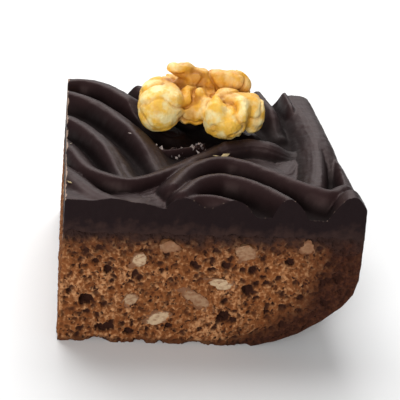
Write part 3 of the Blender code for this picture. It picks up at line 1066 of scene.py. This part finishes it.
    def closed(self, wall: np.ndarray, marks: dict[str, np.ndarray]) -> Skin:
        """Closes the wall with shrinking rings above and below.

        Args:
            wall: The wall's corners, rows from the bottom up and columns round the square.
            marks: What is marked at each of them.

        Returns:
            The closed skin.
        """
        loops, marks = [wall], dict(marks)
        for row, level in ((0, 0.0), (-1, 0.12)):
            edge = wall[row]
            middle = edge.mean(axis=0)
            rings = np.stack([middle + (edge - middle) * (1 - inset) for inset in (0.03, 0.35)])
            rings[..., 2] = level if row == 0 else rings[..., 2] + level
            loops = [rings[::-1], *loops] if row == 0 else [*loops, rings]
            for name, values in marks.items():
                added = values[[row, row]]
                marks[name] = np.vstack([added, values] if row == 0 else [values, added])
        corners = np.concatenate(loops)
        number = np.arange(corners.shape[0] * corners.shape[1]).reshape(corners.shape[:2])
        number = np.hstack([number, number[:, :1]])
        faces = grid_faces(number) + [number[0, :-1].tolist(), number[-1, -2::-1].tolist()]
        return Skin(corners.reshape(-1, 3), faces, marks)


@dataclass
class CutNutPieces(Part):
    """All the nut pieces that show at the cuts, each a rough pebble planed off at its side."""

    name: ClassVar[str] = "cut_nut_pieces"
    slot: ClassVar[str] = "nut_piece"

    nuts: tuple[SetNut, ...]
    around: int = 40
    over: int = 22
    sink: float = 0.12
    planes: int = 9
    plane_reach: Pair = (0.50, 0.40)
    reach: Pair = (1.28, 0.45)
    face_waver: float = 0.16
    tones: tuple[float, ...] = (0.9, 0.75, 0.9, 0.15, 0.0, 0.7, 0.45, 0.0)
    finish: CutNutFinish = CutNutFinish()

    def lump(self, number: int, nut: SetNut) -> Skin:
        """One piece.

        A sphere over longitude and latitude is planed off by flat faces at random slants, stretched to the
        piece's half sizes and roughened by noise, and what would stand out of the side is pressed to a
        nearly flat cut.

        Args:
            number: The piece's number, which seeds its noise.
            nut: The piece.

        Returns:
            The piece's skin, with tone and rim marks.
        """
        turn, tilt = np.meshgrid(np.linspace(0, 2 * math.pi, self.around, endpoint=False),
                                 np.linspace(0, math.pi, self.over), indexing="xy")
        ball = np.stack([np.sin(tilt) * np.cos(turn), np.sin(tilt) * np.sin(turn), np.cos(tilt)], axis=-1)
        ball = ball[1:-1].reshape(-1, 3)
        ball = np.vstack([ball, [[0, 0, 1], [0, 0, -1]]])
        size = np.array([nut.half[0], nut.half[1], min(nut.half) * 1.1])
        draw = scatter(np.column_stack([np.arange(self.planes), np.full(self.planes, number)]), 77, 4)
        slants = (draw[:, :3] - 0.5) * (1, 1, 0.3)
        slants /= np.linalg.norm(slants, axis=1, keepdims=True)
        away = self.plane_reach[0] + self.plane_reach[1] * draw[:, 3]
        planed = (away / np.clip(ball @ slants.T, 0.05, None)).min(axis=1)
        swell = self.reach[0] + self.reach[1] * rough(ball * size, 2.2, 3, 300 + number)
        reach = np.minimum(planed, 1) * swell
        shape = ball * size * reach[:, None]
        face = self.face_waver * rough(shape * (1, 1, 0), 1.4, 3, 400 + number) + self.sink
        out = np.minimum(shape[:, 2], -face)
        rim = ease(np.hypot(shape[:, 0] / size[0], shape[:, 1] / size[1]), 0.72, 1.0)
        cos, sin = math.cos(nut.turn), math.sin(nut.turn)
        across = nut.middle[0] + shape[:, 0] * cos - shape[:, 1] * sin
        up = nut.middle[1] + shape[:, 0] * sin + shape[:, 1] * cos
        corners = {
            Side.FRONT: np.column_stack([across, -out, up]),
            Side.BACK: np.column_stack([across, SQUARE.depth + out, up]),
            Side.LEFT: np.column_stack([-out, across, up]),
        }[nut.side]
        rows = np.arange((self.over - 2) * self.around).reshape(-1, self.around)
        rows = np.hstack([rows, rows[:, :1]])
        poles = (len(corners) - 2, len(corners) - 1)
        faces = grid_faces(rows)
        faces += [[poles[0], b, a] for a, b in zip(rows[0, 1:].tolist(), rows[0, :-1].tolist())]
        faces += [[poles[1], a, b] for a, b in zip(rows[-1, 1:].tolist(), rows[-1, :-1].tolist())]
        tone = self.tones[number] if number < len(self.tones) else (0.1, 0.5, 0.8)[number % 3]
        skin = Skin(corners, faces, {"tone": np.full(len(corners), tone), "rim": rim})
        if skin.volume() < 0:
            skin.faces = [one[::-1] for one in faces]
        return skin

    def solids(self) -> tuple[str, ...]:
        """Names of all the nut pieces' solids."""
        return tuple(nut.node for nut in self.nuts)

    def skin(self) -> Skin:
        """Joins all the pieces' skins.

        Returns:
            The pieces as one skin, with tone and rim marks.
        """
        lumps = [self.lump(number, nut) for number, nut in enumerate(self.nuts)]
        starts = np.cumsum([0] + [len(lump.corners) for lump in lumps])
        faces = [[int(start) + corner for corner in face]
                 for start, lump in zip(starts, lumps) for face in lump.faces]
        marks = {name: np.concatenate([lump.marks[name] for lump in lumps]) for name in ("tone", "rim")}
        return Skin(np.vstack([lump.corners for lump in lumps]), faces, marks)


@dataclass(frozen=True)
class Lobe:
    """A swelling of the walnut: its centre from the nut's middle and seat, its half sizes and its tone."""

    centre: Triple
    half: Triple
    amber: float = 0.0


@dataclass
class WalnutHalf(Part):
    """The walnut half: lobes run together into one wrinkled skin."""

    name: ClassVar[str] = "walnut_half"
    slot: ClassVar[str] = "walnut"

    middle: Pair = (31.8, 42.6)
    seat: float = 35.3
    cell: float = 0.2
    blend: float = 0.4
    wrinkle_reach: float = 1.2
    box: tuple[Pair, ...] = ((-17, 17.5), (-14, 13.5), (-0.8, 15.8))
    fold_blend: float = 1.3
    fold_reach: Pair = (0.6, 1.8)
    tone_blend: float = 0.5
    crease_size: float = 7.5
    crease_slope: float = 3.4
    crease_depths: Pair = (0.34, 0.45)
    bump_size: float = 3.6
    bump_depths: Pair = (0.20, 0.25)
    finish: KernelFinish = KernelFinish()
    lobes: tuple[Lobe, ...] = (
        Lobe((-10.4, -5.2, 5.6), (5.1, 4.8, 5.6)),
        Lobe((-7.4, -4.8, 6.4), (2.9, 3.9, 4.3)),
        Lobe((-8.2, -2.6, 9.3), (2.0, 2.2, 1.9), 0.6),
        Lobe((-9.8, 1.8, 5.7), (5.2, 5.2, 5.0)),
        Lobe((-3.7, -1.8, 5.6), (1.9, 4.2, 4.6), 0.35),
        Lobe((-0.8, -2.2, 5.7), (1.9, 4.2, 4.7), 0.2),
        Lobe((2.8, -7.2, 5.6), (2.9, 4.2, 5.0)),
        Lobe((6.0, -8.3, 4.3), (3.2, 4.0, 4.0)),
        Lobe((8.8, -6.6, 5.7), (2.5, 4.2, 4.8)),
        Lobe((12.6, -3.6, 5.1), (2.9, 4.3, 4.6)),
        Lobe((11.0, -3.4, 8.2), (2.6, 2.8, 2.0), 0.2),
        Lobe((6.4, -3.2, 8.0), (4.2, 3.6, 2.8), 0.5),
        Lobe((-7.6, 7.2, 5.2), (5.2, 4.2, 4.8)),
        Lobe((0.0, 7.0, 5.0), (5.0, 4.2, 4.6), 0.4),
        Lobe((7.8, 6.2, 5.3), (5.8, 5.0, 5.0)),
        Lobe((0.0, 1.8, 5.2), (9.5, 7.0, 4.2), 0.8),
        Lobe((0.4, 3.8, 8.8), (6.6, 2.8, 3.2), 0.8),
        Lobe((-6.8, 2.6, 13.0), (2.0, 1.8, 1.5), 0.2),
        Lobe((-4.3, 3.0, 12.7), (2.6, 2.1, 2.1), 0.35),
        Lobe((-0.6, 3.0, 11.2), (3.6, 2.4, 2.2), 0.6),
        Lobe((4.2, 2.7, 11.1), (3.6, 2.6, 2.3), 0.5),
        Lobe((8.0, 2.5, 11.2), (3.4, 2.7, 2.4), 0.4),
        Lobe((10.4, 2.2, 10.2), (1.8, 2.0, 1.7), 0.3),
    )

    def distances(self, points: np.ndarray) -> np.ndarray:
        """Rough distance from each lobe: how far past its ellipsoid, times its smallest half size.

        Args:
            points: Places from the nut's middle and seat.

        Returns:
            One row for each lobe.
        """
        return np.array([
            (np.linalg.norm((points - lobe.centre) / lobe.half, axis=-1) - 1) * min(lobe.half)
            for lobe in self.lobes
        ])

    def skin(self) -> Skin:
        """The kernel's skin.

        A field over a box of cells is the soft least distance to the lobes, and near the skin wrinkles are
        added. The skin is laid where the field is 0: one corner for each cell that it crosses, at the mean
        of its crossings of the cell's edges, and one quad for each lattice edge that it crosses.

        Returns:
            The skin, with fold and amber marks.
        """
        axes = [np.arange(low, high, self.cell) for low, high in self.box]
        points = np.stack(np.meshgrid(*axes, indexing="ij"), axis=-1)
        values = self.joined(points.reshape(-1, 3))[0]
        near = np.abs(values) < self.wrinkle_reach
        values[near] += self.wrinkles(points.reshape(-1, 3)[near])[0]
        origin = np.array([axis[0] for axis in axes])
        corners, faces = skin_of_field(values.reshape(points.shape[:-1]), origin, self.cell)
        _, fold, amber = self.joined(corners)
        crease = self.wrinkles(corners)[1]
        shift = np.array([*self.middle, self.seat])
        return Skin(corners + shift, faces, {"fold": np.clip(fold + crease, 0, 1), "amber": amber})

    def joined(self, points: np.ndarray) -> tuple[np.ndarray, np.ndarray, np.ndarray]:
        """The lobes run together.

        Args:
            points: Places from the nut's middle and seat.

        Returns:
            The soft least distance, how deep each place is in the fold between lobes, and how amber it is.
        """
        parts = self.distances(points)
        joined = -soft_max(-parts, self.blend)
        fold = ease(joined + soft_max(-parts, self.fold_blend), *self.fold_reach)
        share = np.exp(-(parts - parts.min(axis=0)) / self.tone_blend)
        ambers = np.array([lobe.amber for lobe in self.lobes])[:, None]
        amber = (share * ambers).sum(axis=0) / share.sum(axis=0)
        return joined, fold, amber

    def wrinkles(self, points: np.ndarray) -> tuple[np.ndarray, np.ndarray]:
        """Creases where a slow noise crosses 0, and low bumps.

        The first of each pair of depths holds everywhere, and the second comes on top of it towards the back.

        Args:
            points: Places from the nut's middle and seat.

        Returns:
            What the wrinkles add to the field, and how deep in a crease each place is.
        """
        crease = ease(1 - np.abs(rough(points, self.crease_size, 2, 61)) * self.crease_slope, 0.2, 1.0)
        behind = ease(points[:, 1], 4.0, 9.0)
        crease_depth = self.crease_depths[0] + self.crease_depths[1] * behind
        bump_depth = self.bump_depths[0] + self.bump_depths[1] * behind
        return crease_depth * crease - bump_depth * rough(points, self.bump_size, 4, 66), 0.6 * crease


def skin_of_field(values: np.ndarray, origin: np.ndarray,
                  cell: float) -> tuple[np.ndarray, list[list[int]]]:
    """Lays a skin where a field over a lattice changes sign.

    Each cell that the skin crosses gets one corner, at the mean of the places where its edges cross 0. Each
    lattice edge that crosses 0 gets a quad through the four cells round it.

    Args:
        values: The field at the lattice's points, negative inside.
        origin: The first lattice point.
        cell: The lattice's spacing.

    Returns:
        The skin's corners, and its quads.
    """
    cells = tuple(size - 1 for size in values.shape)
    total, count = np.zeros((*cells, 3)), np.zeros(cells)
    crossed = []
    for axis in range(3):
        first = np.moveaxis(values, axis, 0)[:-1]
        second = np.moveaxis(values, axis, 0)[1:]
        cross = (first < 0) != (second < 0)
        part = np.where(cross, first / np.where(cross, first - second, 1), 0)
        cross, part = np.moveaxis(cross, 0, axis), np.moveaxis(part, 0, axis)
        crossed.append((cross, np.moveaxis(first < 0, 0, axis)))
        place = np.stack(np.indices(cross.shape), axis=-1).astype(float)
        place[..., axis] += part
        others = [other for other in range(3) if other != axis]
        for step in product((0, 1), repeat=2):
            window = [slice(None)] * 3
            for other, shift in zip(others, step):
                window[other] = slice(shift, shift + cells[other])
            window = tuple(window)
            total += place[window] * cross[window][..., None]
            count += cross[window]
    used = count > 0
    number = np.full(cells, -1)
    number[used] = np.arange(used.sum())
    corners = origin + total[used] / count[used][:, None] * cell
    faces = []
    for axis, (cross, inside) in enumerate(crossed):
        second, third = (axis + 1) % 3, (axis + 2) % 3
        where = np.argwhere(cross)
        fits = (where[:, second] > 0) & (where[:, third] > 0)
        fits &= (where[:, second] < cells[second]) & (where[:, third] < cells[third])
        where = where[fits]
        quad = []
        for back_second, back_third in ((1, 1), (0, 1), (0, 0), (1, 0)):
            around = where.copy()
            around[:, second] -= back_second
            around[:, third] -= back_third
            quad.append(number[tuple(around.T)])
        quad = np.stack(quad, axis=-1)
        leaving = inside[tuple(where.T)]
        quad[~leaving] = quad[~leaving][:, ::-1]
        faces += quad.tolist()
    return corners, faces


@dataclass(frozen=True)
class SoftLight:
    """A square soft light: its name, its place and width in metres, and its power in watts."""

    name: str
    place: Triple
    size: float
    power: float


@dataclass
class Studio:
    """A pale floor, soft white light, and the camera at the photograph's angle."""

    camera_place: Triple = (-36.4, -218.2, 135.6)
    camera_target: Triple = (0.0, 0.0, 21.0)
    camera_roll: float = 7.467
    lens: float = 93.0
    sensor_width: float = 36.0
    clip_start: float = 0.01
    floor_size: float = 6.0
    floor_colour: Triple = (0.86, 0.86, 0.86)
    sky: float = 0.20
    brownie_middle: Triple = (0, 0, 0.02)
    lights: tuple[SoftLight, ...] = (
        SoftLight("overhead_softbox", (-0.10, 0.38, 0.66), 0.6, 6.2),
        SoftLight("back_softbox", (0.14, 0.66, 0.40), 0.6, 1.8),
        SoftLight("front_fill", (-0.24, -0.60, 0.24), 0.4, 3.3),
    )

    def floor(self) -> None:
        """The floor, one large square that the cake stands on."""
        half = self.floor_size / 2
        mesh = bpy.data.meshes.new("floor")
        corners = [(-half, -half, 0), (half, -half, 0), (half, half, 0), (-half, half, 0)]
        mesh.from_pydata(corners, [], [(0, 1, 2, 3)])
        floor = bpy.data.objects.new("floor", mesh)
        bpy.context.scene.collection.objects.link(floor)
        sheet = MaterialSheet("pale_floor", {"Base Color": (*self.floor_colour, 1), "Roughness": 0.8,
                                             "Specular IOR Level": 0.1})
        mesh.materials.append(sheet.material)

    def hang(self, light: SoftLight) -> None:
        """Hangs a soft light so that it faces the brownie.

        Args:
            light: The light.
        """
        lamp = bpy.data.lights.new(light.name, "AREA")
        lamp.size = light.size
        lamp.energy = light.power
        made = bpy.data.objects.new(light.name, lamp)
        made.location = light.place
        made.rotation_mode = "QUATERNION"
        towards = Vector(self.brownie_middle) - Vector(light.place)
        made.rotation_quaternion = towards.to_track_quat("-Z", "Y")
        bpy.context.scene.collection.objects.link(made)

    def camera(self) -> None:
        """The camera, where the photograph's was from the square, turned to face its middle."""
        lens = bpy.data.cameras.new("camera")
        lens.lens = self.lens
        lens.sensor_width = self.sensor_width
        lens.clip_start = self.clip_start
        made = bpy.data.objects.new("camera", lens)
        place, target = Vector(self.camera_place) * MM, Vector(self.camera_target) * MM
        made.location = place
        made.rotation_mode = "QUATERNION"
        roll = Quaternion((0, 0, 1), math.radians(self.camera_roll))
        made.rotation_quaternion = (target - place).to_track_quat("-Z", "Y") @ roll
        bpy.context.scene.collection.objects.link(made)
        bpy.context.scene.camera = made

    def build(self) -> None:
        """Sets up the floor, the sky, the lights and the camera."""
        scene = bpy.context.scene
        scene.view_settings.view_transform = "Standard"
        world = bpy.data.worlds.new("studio")
        world.use_nodes = True
        background = world.node_tree.nodes["Background"]
        background.inputs["Color"].default_value = (1, 1, 1, 1)
        background.inputs["Strength"].default_value = self.sky
        scene.world = world
        self.floor()
        for light in self.lights:
            self.hang(light)
        self.camera()


def main() -> None:
    """Builds the studio and every part of the brownie in order, and logs each piece's count of faces."""
    logging.basicConfig(level=logging.INFO, format="%(message)s")
    Studio().build()
    nuts = tuple(SetNut.from_node(node) for node in sorted(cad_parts) if node.startswith("nut_piece"))
    icing = CombedIcing()
    for part in (icing, TornFlakes(icing), CrumbCake(nuts), CutNutPieces(nuts), WalnutHalf()):
        piece = part.build()
        log.info("%s: %d faces", piece.name, len(piece.data.polygons))


if __name__ == "__main__":
    main()
